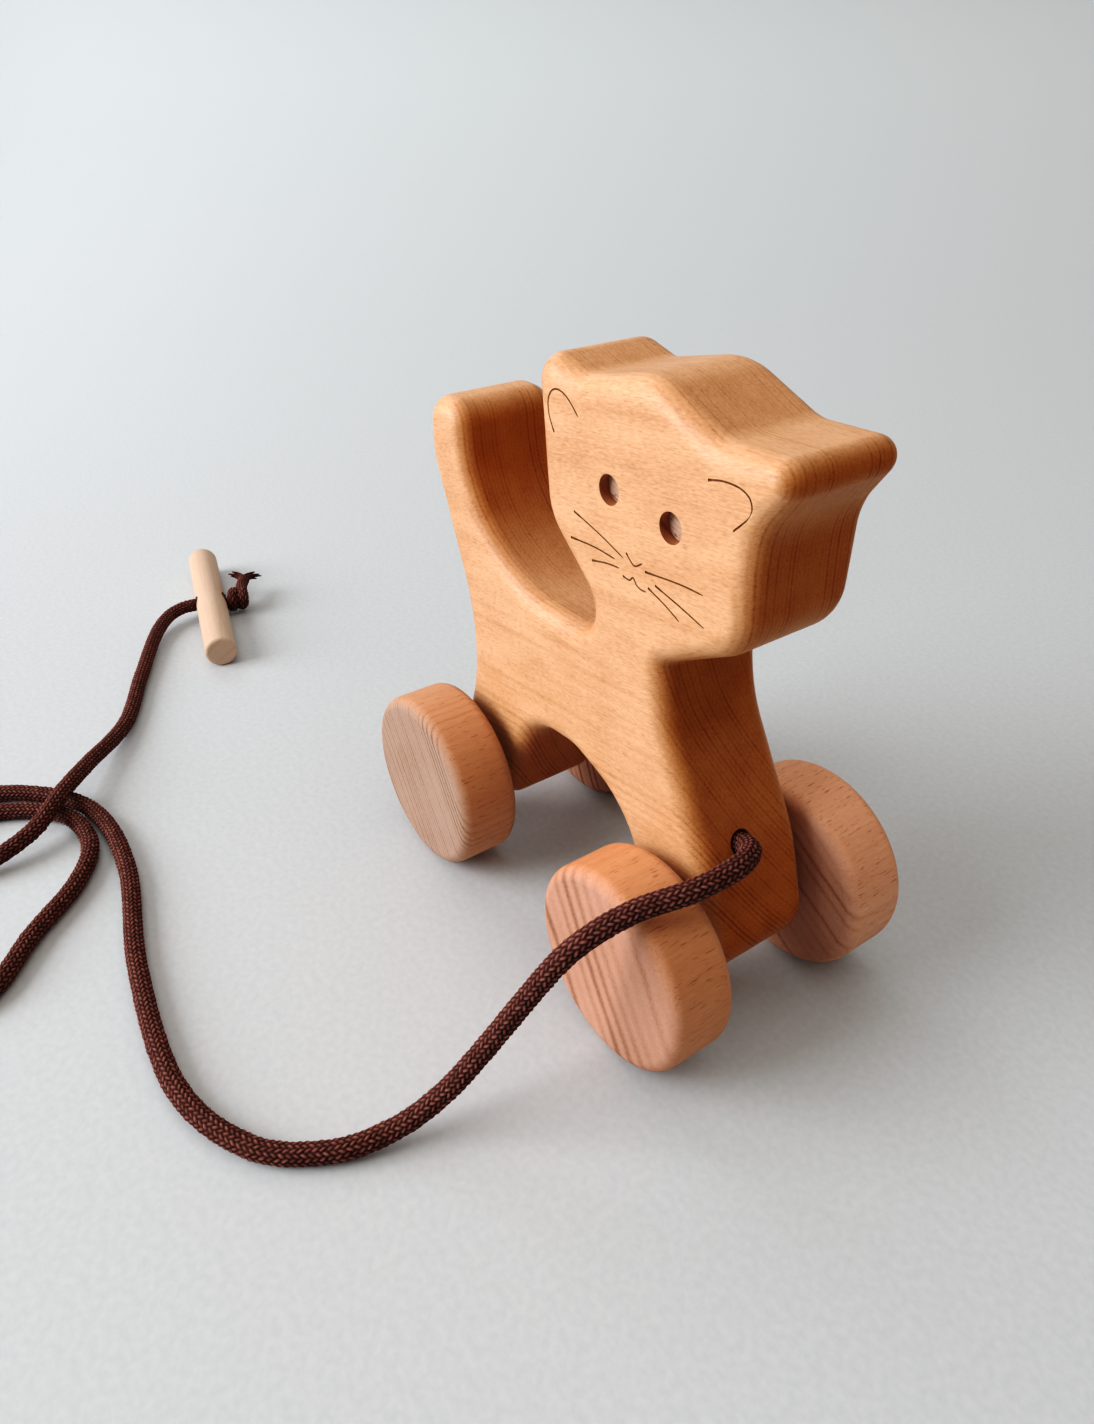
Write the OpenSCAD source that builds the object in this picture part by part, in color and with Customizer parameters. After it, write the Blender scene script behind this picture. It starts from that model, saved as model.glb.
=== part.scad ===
// Wooden pull toy: a rounded board in the outline of a sitting cat, on two wheelsets, with a
// braided pull cord and a dowel toggle. Sizes are in millimetres.
// +X is the toy's front, +Z is up and the face looks towards -Y. The origin is on the floor,
// midway between the axles. Lengths named back and front are counted from the nearer axle,
// and heights and drops from the axle line.

/* [Board] */
// Thickness of the board
board_thickness = 24; // [20:0.5:30]
// Radius of the rounded-over edges of both faces
edge_round = 4.1; // [2:0.1:4.5]

/* [Wheels and axles] */
// Distance between the two axles
wheelbase = 68; // [64:1:76]
// Diameter of a wheel
wheel_d = 40; // [34:1:46]
// Width of a wheel
wheel_width = 14; // [11:0.5:18]
// Radius of the wheel's rounded rims
rim_round = 2.5; // [1:0.1:4]
// Gap between the board and a wheel
side_gap = 3; // [1.5:0.1:5]
// Diameter of the axle dowel
axle_d = 6; // [5:0.1:7]
// Depth of the blind axle bore in a wheel
wheel_bore_depth = 10; // [6:0.5:10.5]

/* [Rear leg] */
// Rear axle to the back of the leg
rear_leg_back = 9; // [8:0.1:11]
// Rear axle to the front of the foot
rear_leg_front = 10.5; // [8.5:0.1:13]
// Axle line down to the underside of the rear foot
rear_foot_drop = 6; // [5:0.1:8]
// Height of the hip, where the back of the leg starts to lean in
hip_height = 7; // [5:0.1:10]
// Height of the hollow of the back
waist_height = 30; // [25:0.5:36]
// Depth of that hollow from the back of the leg
waist_depth = 9; // [6:0.1:11]

/* [Tail] */
// Rear axle to the back of the tail
tail_back = 16; // [12:0.1:19]
// Height at which the tail turns upright
tail_bend_height = 69; // [62:0.5:73]
// Height of the tail's tip
tail_height = 81.8; // [78:0.1:90]
// Width of the tail's tip
tail_width = 12.5; // [11:0.1:15]

/* [Finger notch] */
// Height of the notch's floor
notch_height = 50.3; // [46:0.1:54]
// Rear axle to the foot of the tail
notch_back = 2; // [0.5:0.1:5]
// Front axle back to the deep end of the notch
notch_front = 19.2; // [17:0.1:22]

/* [Head] */
// Front axle back to the nape
nape_back = 42.2; // [39:0.1:44]
// Height of the nape
nape_height = 69.5; // [65:0.1:75]
// Front axle back to the rear ear's tip
rear_ear_back = 45.3; // [43:0.1:48]
// Height of the rear ear's tip
rear_ear_height = 99.5; // [98:0.1:104]
// Front axle back to the dip beside the rear ear
rear_dip_back = 32.5; // [29:0.1:35]
// Height of that dip
rear_dip_height = 96.2; // [94:0.1:97.5]
// Front axle back to the crown
crown_back = 15.5; // [13:0.1:18]
// Height of the crown
crown_height = 100.2; // [98.5:0.1:103]
// Front axle to the dip beside the front ear
front_dip_back = 0.1; // [-2:0.1:3]
// Height of that dip
front_dip_height = 94.2; // [92:0.1:96]
// Front axle forward to the front ear's tip
front_ear_front = 17.2; // [16:0.1:20]
// Height of the front ear's tip
front_ear_height = 94.9; // [93:0.1:97]
// Front axle forward to the cheek
cheek_front = 9.7; // [8:0.1:12]
// Height of the cheek
cheek_height = 83.2; // [80:0.1:86]
// Front axle forward to the jaw
jaw_front = 9.3; // [7.5:0.1:12]
// Height of the jaw
jaw_height = 63.8; // [61:0.1:68]
// Front axle back to the throat
throat_back = 8.8; // [6:0.1:11]
// Height of the throat
throat_height = 53.7; // [50:0.1:56]

/* [Eyes] */
// Diameter of an eye hole
eye_d = 5.2; // [4:0.1:6]
// Depth of an eye hole
eye_depth = 2; // [1:0.1:6]
// Front axle back to the rear eye
rear_eye_back = 23.1; // [19:0.1:27]
// Height of the rear eye
rear_eye_height = 80.2; // [74:0.1:86]
// Front axle back to the front eye
front_eye_back = 7.9; // [5:0.1:11]
// Height of the front eye
front_eye_height = 78.9; // [74:0.1:84]

/* [Front leg] */
// Front axle back to the chest
chest_back = 7; // [5:0.1:9]
// Height of the chest
chest_height = 41.8; // [38:0.1:46]
// Front axle forward to the shin
shin_front = 6.7; // [5:0.1:9]
// Height of the shin
shin_height = 17.8; // [14:0.1:22]
// Front axle forward to the toe
toe_front = 14.3; // [12:0.1:17]
// Front axle back to the heel
heel_back = 12.4; // [10:0.1:15]
// Axle line down to the underside of the front foot
front_foot_drop = 8; // [6:0.1:10]

/* [Arch] */
// Front axle back to the front side of the arch
arch_side_back = 13.3; // [11:0.1:16]
// Height of the arch's front side
arch_side_height = 16.3; // [14:0.1:19]
// Front axle back to the front of the arch's crown
arch_crown_back = 33.4; // [30:0.1:36]
// Height of the arch's crown at its front
arch_crown_height = 22.4; // [20:0.1:25]
// Rear axle forward to the rear of the arch's crown
arch_rear_front = 20.8; // [18:0.1:22]
// Height of the arch's crown at its rear
arch_rear_height = 21; // [18:0.1:24]

/* [Corner radii of the outline] */
// Back of the rear foot
rear_heel_round = 7; // [5:0.5:9]
// Hip
hip_round = 12; // [8:0.5:16]
// Hollow of the back
waist_round = 43; // [30:1:46]
// Back of the tail
tail_bend_round = 14; // [8:0.5:16]
// Tip of the tail
tail_tip_round = 5.6; // [4.8:0.1:6]
// Foot of the tail, in the notch
notch_back_round = 27.5; // [20:0.5:30]
// Deep end of the notch
notch_front_round = 5.4; // [3:0.1:8]
// Nape
nape_round = 11.5; // [8:0.5:15]
// Tip of the rear ear
rear_ear_round = 4.6; // [3:0.1:5.5]
// Tip of the front ear
front_ear_round = 3.4; // [2.5:0.1:4.5]
// Dip beside the rear ear
rear_dip_round = 6.5; // [4:0.5:9]
// Crown of the head
crown_round = 15; // [10:0.5:18]
// Dip beside the front ear
front_dip_round = 9.7; // [6:0.1:12]
// Cheek
cheek_round = 12.5; // [8:0.5:16]
// Jaw
jaw_round = 10.7; // [7:0.1:13]
// Throat
throat_round = 2; // [1:0.1:4]
// Chest
chest_round = 30; // [20:1:36]
// Shin
shin_round = 40; // [25:1:60]
// Toe
toe_round = 10; // [6:0.5:12]
// Heel of the front foot and front of the rear foot
foot_round = 5; // [4.6:0.1:6]
// Front side of the arch
arch_side_round = 19; // [14:0.5:20]
// Crown of the arch
arch_crown_round = 11.5; // [8:0.5:13]

/* [Cord and toggle] */
// Diameter of the cord
cord_d = 4.1; // [3.5:0.1:4.3]
// Diameter of the cord hole through the front leg
cord_hole_d = 5; // [5:0.1:6.5]
// Height of the cord hole above the front axle
cord_hole_height = 17.9; // [16:0.1:20]
// Distance of the cord hole from the middle of the board, towards the face
cord_hole_offset = 2.2; // [1.5:0.1:3]
// Upward tilt of the cord hole towards the front
cord_hole_tilt = 28; // [22:1:34]
// Diameter of the toggle
toggle_d = 9.5; // [8:0.1:12]
// Length of the toggle
toggle_length = 70; // [50:1:90]
// Radius of the toggle's rounded ends
toggle_end_round = 1; // [0.4:0.1:2]
// Diameter of the cross hole in the toggle
toggle_hole_d = 5.6; // [5.4:0.1:6.5]
// Diameter of a stopper knot
knot_d = 8; // [8:0.1:9.4]
// Length of a stopper knot along the cord
knot_length = 7; // [6.5:0.1:10]
// Length of a knot's free tail, from the middle of the knot
knot_tail = 13; // [9:0.5:16]

/* [Clearances] */
// Radial clearance of an axle in the board
running_gap = 0.08; // [0.02:0.01:0.1]
// Radial clearance of an axle in its glued wheel
glue_gap = 0.03; // [0.01:0.01:0.05]
// Gap between an axle's end and the bottom of the wheel's bore
bore_end_gap = 0.3; // [0.1:0.1:1]
// Gap between a knot and what it stops
seat_gap = 0.3; // [0.1:0.05:0.5]

/* [Hidden] */

// Places of the axles and wheels
axle_z = wheel_d / 2;
front_x = wheelbase / 2;
rear_x = -wheelbase / 2;
wheel_inner_y = board_thickness / 2 + side_gap;
axle_length = 2 * (wheel_inner_y + wheel_bore_depth - bore_end_gap);
axle_bore_d = axle_d + 2 * running_gap;
wheel_bore_d = axle_d + 2 * glue_gap;

// Smoothness: sides of a round, and the largest turn between two points of the outline
round_sides = 64;
arc_step = 10;
// Rings across a rounded-over edge
edge_steps = 4;
// How far a cut runs past the face that it starts from
overcut = 1;
axle_bore_length = board_thickness + 2 * overcut;
// At a convex corner the rounded-over edge stops this much short of the corner's centre
convex_margin = 0.4;
// Length of the cord hole's cut, past both edges of the front leg
cord_hole_length = 2 * (toe_front + heel_back);
// Distances along the cord hole, back from above the front axle, to the anchor knot and to where
// the cord starts to bend
anchor_distance = 17.1;
bend_distance = 3.4;

// Corners of the outline seen from the face, clockwise: [x, height above the axles, radius]
outline_corners = [
    [rear_x - rear_leg_back, -rear_foot_drop, rear_heel_round],
    [rear_x - rear_leg_back, hip_height, hip_round],
    [rear_x - rear_leg_back + waist_depth, waist_height, waist_round],
    [rear_x - tail_back, tail_bend_height, tail_bend_round],
    [rear_x - tail_back, tail_height, tail_tip_round],
    [rear_x - tail_back + tail_width, tail_height, tail_tip_round],
    [rear_x + notch_back, notch_height, notch_back_round],
    [front_x - notch_front, notch_height, notch_front_round],
    [front_x - nape_back, nape_height, nape_round],
    [front_x - rear_ear_back, rear_ear_height, rear_ear_round],
    [front_x - rear_dip_back, rear_dip_height, rear_dip_round],
    [front_x - crown_back, crown_height, crown_round],
    [front_x - front_dip_back, front_dip_height, front_dip_round],
    [front_x + front_ear_front, front_ear_height, front_ear_round],
    [front_x + cheek_front, cheek_height, cheek_round],
    [front_x + jaw_front, jaw_height, jaw_round],
    [front_x - throat_back, throat_height, throat_round],
    [front_x - chest_back, chest_height, chest_round],
    [front_x + shin_front, shin_height, shin_round],
    [front_x + toe_front, -front_foot_drop, toe_round],
    [front_x - heel_back, -front_foot_drop, foot_round],
    [front_x - arch_side_back, arch_side_height, arch_side_round],
    [front_x - arch_crown_back, arch_crown_height, arch_crown_round],
    [rear_x + arch_rear_front, arch_rear_height, arch_crown_round],
    [rear_x + rear_leg_front, -rear_foot_drop, foot_round]
];
corner_count = len(outline_corners);

// The flat faces are divided into triangles about six inner points, the hubs: rear axle, haunch,
// tail, shoulder, head and front axle. Each corner names the hubs that the two halves of its
// arc belong to.
hubs = [
    [rear_x, 0],
    [rear_x + (waist_depth - rear_leg_back + arch_rear_front) / 2, (waist_height + arch_rear_height) / 2],
    [rear_x + (notch_back - tail_back) / 2, (tail_bend_height + notch_height) / 2],
    [front_x - (notch_front + arch_crown_back) / 2, (notch_height + arch_crown_height) / 2],
    [front_x - (crown_back + throat_back) / 2, (crown_height + throat_height) / 2],
    [front_x, 0]
];
corner_hubs = [
    [0, 0], [0, 0], [1, 1], [2, 2], [2, 2], [2, 2], [2, 1], [3, 4], [4, 4], [4, 4], [4, 4], [4, 4], [4, 4],
    [4, 4], [4, 4], [4, 4], [4, 4], [3, 3], [5, 5], [5, 5], [5, 5], [5, 3], [3, 3], [1, 1], [0, 0]
];

// Height of the cord's middle where it lies on the floor
cord_floor_gap = 0.15;
cord_low = cord_d / 2 + cord_floor_gap;

// Route of the cord from the knot behind the front leg to the knot past the toggle. It leaves
// the leg, passes over the front right wheel, lies on the floor in two open loops, crosses
// over itself once and ends in the toggle.
cord_route = [
    hole_point(anchor_distance), hole_point(bend_distance),
    [40.9, -2.8, 41.5], [45.6, -8.6, 43.9], [45.5, -19, 43.6], [41.6, -30, 41.3],
    [39.3, -40, 37], [36.2, -46.5, 27.5], [33.5, -53, 17.5], [31.5, -61, 8.8],
    [29.5, -70, 3.8], [26, -81, 2.4], [16.5, -92, cord_low], [-3, -98.3, cord_low],
    [-35, -95.5, cord_low], [-66, -88.8, cord_low], [-90, -89, cord_low], [-105, -97, cord_low],
    [-115, -112, cord_low], [-111, -130, cord_low], [-91, -140, cord_low], [-66, -143, cord_low],
    [-47, -136.5, cord_low], [-45, -122.5, cord_low], [-57, -111, cord_low], [-68, -99.5, cord_low],
    [-80, -93.5, cord_low], [-94, -95.5, cord_low], [-104, -106, cord_low], [-107, -119, cord_low],
    [-96.5, -128, cord_low], [-86, -119, 2.5], [-88.5, -104.5, 4.8], [-97.5, -94.7, 6.8],
    [-108, -86.5, 5.4], [-126, -72.5, 2.4], [-150, -61, cord_low], [-173.5, -48.5, 3],
    [-180.6, -38.5, 4.4], [-177, -24.5, toggle_d / 2]
];
cord_spans = len(cord_route) - 1;
cord_sides = 10;
rings_per_span = 2;
// How far a knot's tail turns away from the cord's direction, and how far from level to the
// left it then drops
anchor_tail_turn = 60;
anchor_tail_drop = 160;
toggle_tail_turn = 70;
toggle_tail_drop = -10;
// Length of the toggle hole's cut
toggle_hole_length = toggle_d + 2 * overcut;
// A knot's rounding leaves a flat face as wide as the cord
knot_face_round = (knot_d - cord_d) / 2;

function unit(v) = v / norm(v);
// A point on the axis of the cord hole, at a distance back from above the front axle
function hole_point(distance) = [
    front_x - distance * cos(cord_hole_tilt),
    -cord_hole_offset,
    axle_z + cord_hole_height - distance * sin(cord_hole_tilt)
];
function corner_point(i) =
    let (c = outline_corners[(i + corner_count) % corner_count])
    [c[0], c[1]];

// Turn of the outline at a corner in degrees, positive where it is convex
function corner_turn(i) =
    let (u = corner_point(i) - corner_point(i - 1))
    let (v = corner_point(i + 1) - corner_point(i))
    atan2(u[1] * v[0] - u[0] * v[1], u * v);
function wanted_round(i) = outline_corners[(i + corner_count) % corner_count][2];

// Length that a corner's arc takes off the two straight sides beside it
function arc_reach(i) = wanted_round(i) * tan(abs(corner_turn(i)) / 2);
function side_share(i, j) =
    norm(corner_point(i) - corner_point(j)) / (arc_reach(i) + arc_reach(j));
// An arc is limited by the straight sides that it shares with its neighbours
function corner_round(i) = wanted_round(i) * min(1, side_share(i, i - 1), side_share(i, i + 1));
// How far the rounded-over edge runs in from the outline at a corner
function edge_inset(i) = corner_turn(i) > 0 ? min(edge_round, corner_round(i) - convex_margin) : edge_round;

// Points along a corner's arc: [point, outward direction, hub, inset of the rounded-over edge]
function corner_arc(i) =
    let (turn = corner_turn(i), along = unit(corner_point(i) - corner_point(i - 1)))
    let (first_out = [-along[1], along[0]], signed_round = corner_round(i) * sign(turn))
    let (first = corner_point(i) - along * corner_round(i) * tan(abs(turn) / 2))
    let (centre = first - first_out * signed_round, steps = ceil(abs(turn) / arc_step))
    [
        for (k = [0:steps])
            let (angle = atan2(first_out[1], first_out[0]) - turn * k / steps)
            let (out = [cos(angle), sin(angle)])
            [centre + out * signed_round, out, corner_hubs[i][k < steps / 2 ? 0 : 1], edge_inset(i)]
    ];
outline = [for (i = [0:corner_count - 1]) each corner_arc(i)];

// Rings of the board from the face to the back: [share of the edge's inset, y]
face_rings = [
    for (k = [0:edge_steps])
        let (angle = 90 * k / edge_steps)
        [1 - sin(angle), edge_round * (1 - cos(angle)) - board_thickness / 2]
];
back_rings = [for (k = [edge_steps:-1:0]) [face_rings[k][0], -face_rings[k][1]]];
board_rings = concat(face_rings, back_rings);

// A point on the cord in a span, and the cord's direction there
function route_point(i) =
    i < 0 ? 2 * cord_route[0] - cord_route[1]
    : i > cord_spans ? 2 * cord_route[cord_spans] - cord_route[cord_spans - 1]
    : cord_route[i];
function span_point(i, t) =
    let (a = route_point(i - 1), b = route_point(i), c = route_point(i + 1), d = route_point(i + 2))
    b + (c - a) * t / 2 + (2 * a - 5 * b + 4 * c - d) * t * t / 2 + (3 * b - a - 3 * c + d) * t * t * t / 2;
function span_direction(i, t) =
    let (a = route_point(i - 1), b = route_point(i), c = route_point(i + 1), d = route_point(i + 2))
    unit((c - a) / 2 + (2 * a - 5 * b + 4 * c - d) * t + (3 * b - a - 3 * c + d) * 3 * t * t / 2);
function cord_ring(i, t) =
    let (along = span_direction(i, t), side = unit(cross(along, [0, 0, 1])), top = cross(side, along))
    [
        for (k = [0:cord_sides - 1])
            let (angle = 360 * k / cord_sides)
            span_point(i, t) + cord_d / 2 * (cos(angle) * side + sin(angle) * top)
    ];

// Places of the pieces at the two ends of the cord
anchor_out = -span_direction(0, 0);
toggle_out = span_direction(cord_spans - 1, 1);
cord_end = cord_route[cord_spans];
toggle_middle = cord_end - toggle_out * (toggle_d / 2 + seat_gap);

module board() {
    count = len(outline);
    rings = len(board_rings);
    ring_points = [
        for (ring = board_rings, q = outline)
            let (p = q[0] - q[1] * q[3] * ring[0])
            [p[0], ring[1], p[1]]
    ];
    hub_points = [for (side = [-1, 1], hub = hubs) [hub[0], side * board_thickness / 2, hub[1]]];
    last = (rings - 1) * count;
    face_hub = rings * count;
    back_hub = face_hub + len(hubs);
    face = [
        for (i = [0:count - 1])
            let (j = (i + 1) % count, a = outline[i][2], b = outline[j][2])
            a == b ? [i, j, face_hub + a] : [i, j, face_hub + b, face_hub + a]
    ];
    back = [
        for (i = [0:count - 1])
            let (j = (i + 1) % count, a = outline[i][2], b = outline[j][2])
            a == b ? [last + j, last + i, back_hub + a]
            : [last + j, last + i, back_hub + a, back_hub + b]
    ];
    sides = [
        for (m = [0:rings - 2], i = [0:count - 1])
            let (j = (i + 1) % count)
            [m * count + i, (m + 1) * count + i, (m + 1) * count + j, m * count + j]
    ];
    polyhedron(concat(ring_points, hub_points), concat(face, back, sides));
}

// A disc about Z with rounded rims, from z = 0 up
module rounded_disc(d, width, rim) {
    rotate_extrude($fn = round_sides) {
        square([d / 2 - rim, width]);
        translate([0, rim])
            square([d / 2, width - 2 * rim]);
        for (z = [rim, width - rim])
            translate([d / 2 - rim, z])
                circle(rim, $fn = round_sides);
    }
}

module body() {
    color("#d9a066")
        difference() {
            translate([0, 0, axle_z])
                board();
            for (x = [rear_x, front_x])
                translate([x, 0, axle_z])
                    rotate([90, 0, 0])
                        cylinder(d = axle_bore_d, h = axle_bore_length, center = true, $fn = round_sides);
            translate(hole_point(0))
                rotate([0, 90 - cord_hole_tilt, 0])
                    cylinder(d = cord_hole_d, h = cord_hole_length, center = true, $fn = round_sides);
            eye_hole(rear_eye_back, rear_eye_height);
            eye_hole(front_eye_back, front_eye_height);
        }
}

module eye_hole(back, height) {
    translate([front_x - back, eye_depth - board_thickness / 2, axle_z + height])
        rotate([90, 0, 0])
            cylinder(d = eye_d, h = eye_depth + overcut, $fn = round_sides);
}

module axle(x) {
    color("#e3c39b")
        translate([x, 0, axle_z])
            rotate([90, 0, 0])
                cylinder(d = axle_d, h = axle_length, center = true, $fn = round_sides);
}

// A wheel at the axle at x, on the right (-1) or left (1) side
module wheel(x, side) {
    color("#d8a07c")
        translate([x, side * wheel_inner_y, axle_z])
            rotate([-90 * side, 0, 0])
                difference() {
                    rounded_disc(wheel_d, wheel_width, rim_round);
                    translate([0, 0, -overcut])
                        cylinder(d = wheel_bore_d, h = wheel_bore_depth + overcut, $fn = round_sides);
                }
}

module pull_cord() {
    last_ring = cord_spans * rings_per_span;
    rings = [
        for (k = [0:last_ring])
            let (i = min(floor(k / rings_per_span), cord_spans - 1))
            cord_ring(i, k / rings_per_span - i)
    ];
    points = [for (ring = rings) each ring];
    start_cap = [for (k = [cord_sides - 1:-1:0]) k];
    end_cap = [for (k = [0:cord_sides - 1]) last_ring * cord_sides + k];
    sides = [
        for (m = [0:last_ring - 1], k = [0:cord_sides - 1])
            let (a = m * cord_sides + k, b = m * cord_sides + (k + 1) % cord_sides)
            each [[b, b + cord_sides, a + cord_sides], [b, a + cord_sides, a]]
    ];
    color("#4a2b23")
        polyhedron(points, concat([start_cap, end_cap], sides));
}

// A stopper knot whose face is at a cord's end, with its length along out and a free tail
module stopper_knot(end, out, tail_turn, tail_drop) {
    color("#4a2b23")
        translate(end)
            rotate([0, acos(out[2]), atan2(out[1], out[0])])
                union() {
                    rounded_disc(knot_d, knot_length, knot_face_round);
                    translate([0, 0, knot_length / 2])
                        rotate([0, 0, -tail_drop])
                            rotate([-tail_turn, 0, 0])
                                cylinder(d = cord_d, h = knot_tail, $fn = round_sides);
                }
}

module pull_toggle() {
    color("#ecd0ae")
        translate([toggle_middle[0], toggle_middle[1], toggle_d / 2])
            rotate([0, 0, atan2(toggle_out[1], toggle_out[0])])
                difference() {
                    translate([0, toggle_length / 2, 0])
                        rotate([90, 0, 0])
                            rounded_disc(toggle_d, toggle_length, toggle_end_round);
                    rotate([0, 90, 0])
                        cylinder(d = toggle_hole_d, h = toggle_hole_length, center = true, $fn = round_sides);
                }
}

body();
axle(front_x);  // front_axle
axle(rear_x);  // rear_axle
wheel(front_x, -1);  // front_right_wheel
wheel(front_x, 1);  // front_left_wheel
wheel(rear_x, -1);  // rear_right_wheel
wheel(rear_x, 1);  // rear_left_wheel
pull_cord();
stopper_knot(cord_route[0], anchor_out, anchor_tail_turn, anchor_tail_drop);  // anchor_knot
pull_toggle();
stopper_knot(cord_end, toggle_out, toggle_tail_turn, toggle_tail_drop);  // toggle_knot
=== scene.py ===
import math

import bpy
import numpy as np
from mathutils import Matrix, Vector


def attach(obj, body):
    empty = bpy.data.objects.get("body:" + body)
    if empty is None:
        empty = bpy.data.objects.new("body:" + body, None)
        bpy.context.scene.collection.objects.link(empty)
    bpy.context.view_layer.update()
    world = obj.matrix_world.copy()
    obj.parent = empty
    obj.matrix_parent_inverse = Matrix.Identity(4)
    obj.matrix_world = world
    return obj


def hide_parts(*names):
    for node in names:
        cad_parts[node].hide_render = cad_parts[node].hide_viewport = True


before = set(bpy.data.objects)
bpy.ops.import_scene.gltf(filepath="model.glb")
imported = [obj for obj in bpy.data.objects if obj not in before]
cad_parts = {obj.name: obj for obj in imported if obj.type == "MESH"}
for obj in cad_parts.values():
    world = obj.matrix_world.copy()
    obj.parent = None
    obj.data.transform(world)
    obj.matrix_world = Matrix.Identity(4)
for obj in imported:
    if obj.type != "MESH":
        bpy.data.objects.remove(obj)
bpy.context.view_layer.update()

MM = 0.001


# Tones and camera

TONE_CURVE = (
    (0.03, 0.010), (0.06, 0.027), (0.10, 0.062), (0.18, 0.145), (0.30, 0.28), (0.60, 0.60),
)
ALL_CHANNELS = 3
CAMERA_AZIMUTH, CAMERA_ELEVATION, CAMERA_ROLL = (math.radians(a) for a in (54.72, 32.88, -0.28))
CAMERA_TARGET = (0, 0, 50 * MM)
TARGET_LEFT, TARGET_UP = 11.83 * MM, 0.70 * MM
CAMERA_DISTANCE = 203 * MM
SENSOR_WIDTH = 36
LENS = 25.53
LENS_SHIFT = (-0.0078, -0.0123)
NEAREST_SEEN = 0.01


def set_tones():
    """Plain colours with a photograph's deeper shadows."""
    settings = bpy.context.scene.view_settings
    settings.view_transform = "Standard"
    settings.use_curve_mapping = True
    for place in TONE_CURVE:
        settings.curve_mapping.curves[ALL_CHANNELS].points.new(*place)
    settings.curve_mapping.update()


def aim_camera():
    """Places the camera at the photograph's viewing angle."""
    back = Vector((
        math.sin(CAMERA_AZIMUTH) * math.cos(CAMERA_ELEVATION),
        -math.cos(CAMERA_AZIMUTH) * math.cos(CAMERA_ELEVATION),
        math.sin(CAMERA_ELEVATION),
    ))
    level = Vector((math.cos(CAMERA_AZIMUTH), math.sin(CAMERA_AZIMUTH), 0.0))
    upward = back.cross(level)
    right = level * math.cos(CAMERA_ROLL) + upward * math.sin(CAMERA_ROLL)
    up = upward * math.cos(CAMERA_ROLL) - level * math.sin(CAMERA_ROLL)
    target = Vector(CAMERA_TARGET) - level * TARGET_LEFT + upward * TARGET_UP
    place = Matrix((right, up, back)).transposed().to_4x4()
    place.translation = target + back * CAMERA_DISTANCE
    data = bpy.data.cameras.new("camera")
    data.sensor_width = SENSOR_WIDTH
    data.lens = LENS
    data.shift_x, data.shift_y = LENS_SHIFT
    data.clip_start = NEAREST_SEEN
    camera = bpy.data.objects.new("camera", data)
    camera.matrix_world = place
    bpy.context.scene.collection.objects.link(camera)
    bpy.context.scene.camera = camera


set_tones()
aim_camera()


# Meshes

CUTTER_EDGE = 40
TURNED_EDGE = 35
PARALLEL = 1e-3


def shade(mesh, smooth_below):
    """Smooth shading, except at edges sharper than smooth_below degrees."""
    for polygon in mesh.polygons:
        polygon.use_smooth = True
    mesh.set_sharp_from_angle(angle=math.radians(smooth_below))


def mesh_object(name, points, faces, material, smooth_below):
    """A mesh piece from points in metres."""
    mesh = bpy.data.meshes.new(name)
    mesh.from_pydata([tuple(p) for p in points], [], faces)
    mesh.validate()
    mesh.update()
    shade(mesh, smooth_below)
    mesh.materials.append(material)
    piece = bpy.data.objects.new(name, mesh)
    bpy.context.scene.collection.objects.link(piece)
    return piece


def point_values(piece, name, values):
    """Gives a piece's points a value each, for its material to read."""
    piece.data.attributes.new(name, "FLOAT", "POINT").data.foreach_set("value", values)


def spline(points, per_span):
    """Points on a smooth line through the given ones, per_span of them in each span."""
    p = np.array(points, float)
    p = np.vstack([2 * p[0] - p[1], p, 2 * p[-1] - p[-2]])
    line = []
    for i in range(len(p) - 3):
        a, b, c, d = p[i:i + 4]
        for k in range(per_span):
            t = k / per_span
            line.append(
                b + (c - a) * t / 2 + (2 * a - 5 * b + 4 * c - d) * t ** 2 / 2
                + (3 * b - a - 3 * c + d) * t ** 3 / 2
            )
    line.append(p[-2])
    return np.array(line)


def lengths(line):
    """How far along a line each of its points is."""
    return np.r_[0, np.cumsum(np.linalg.norm(np.diff(line, axis=0), axis=1))]


def even(line, step):
    """The same line with its points evenly spaced, about step apart."""
    length = lengths(line)
    count = max(2, int(round(length[-1] / step)) + 1)
    at = np.linspace(0, length[-1], count)
    return np.column_stack([np.interp(at, length, line[:, k]) for k in range(3)])


def sweep_frames(line):
    """Two unit normals along a line, turning as little as possible."""
    tangent = np.gradient(line, axis=0)
    tangent /= np.linalg.norm(tangent, axis=1)[:, None]
    first = np.cross(tangent[0], (0.0, 0.0, 1.0))
    if np.linalg.norm(first) < PARALLEL:
        first = np.cross(tangent[0], (1.0, 0.0, 0.0))
    side = [first / np.linalg.norm(first)]
    for t in tangent[1:]:
        s = side[-1] - t * side[-1].dot(t)
        side.append(s / np.linalg.norm(s))
    side = np.array(side)
    return side, np.cross(tangent, side)


def ring_faces(rings, sides):
    """Faces of a closed tube made of rings of points, in order."""
    faces = []
    for m in range(rings - 1):
        for k in range(sides):
            a, b = m * sides + k, m * sides + (k + 1) % sides
            faces.append((a, b, b + sides, a + sides))
    faces.append(tuple(range(sides - 1, -1, -1)))
    faces.append(tuple((rings - 1) * sides + k for k in range(sides)))
    return faces


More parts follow.
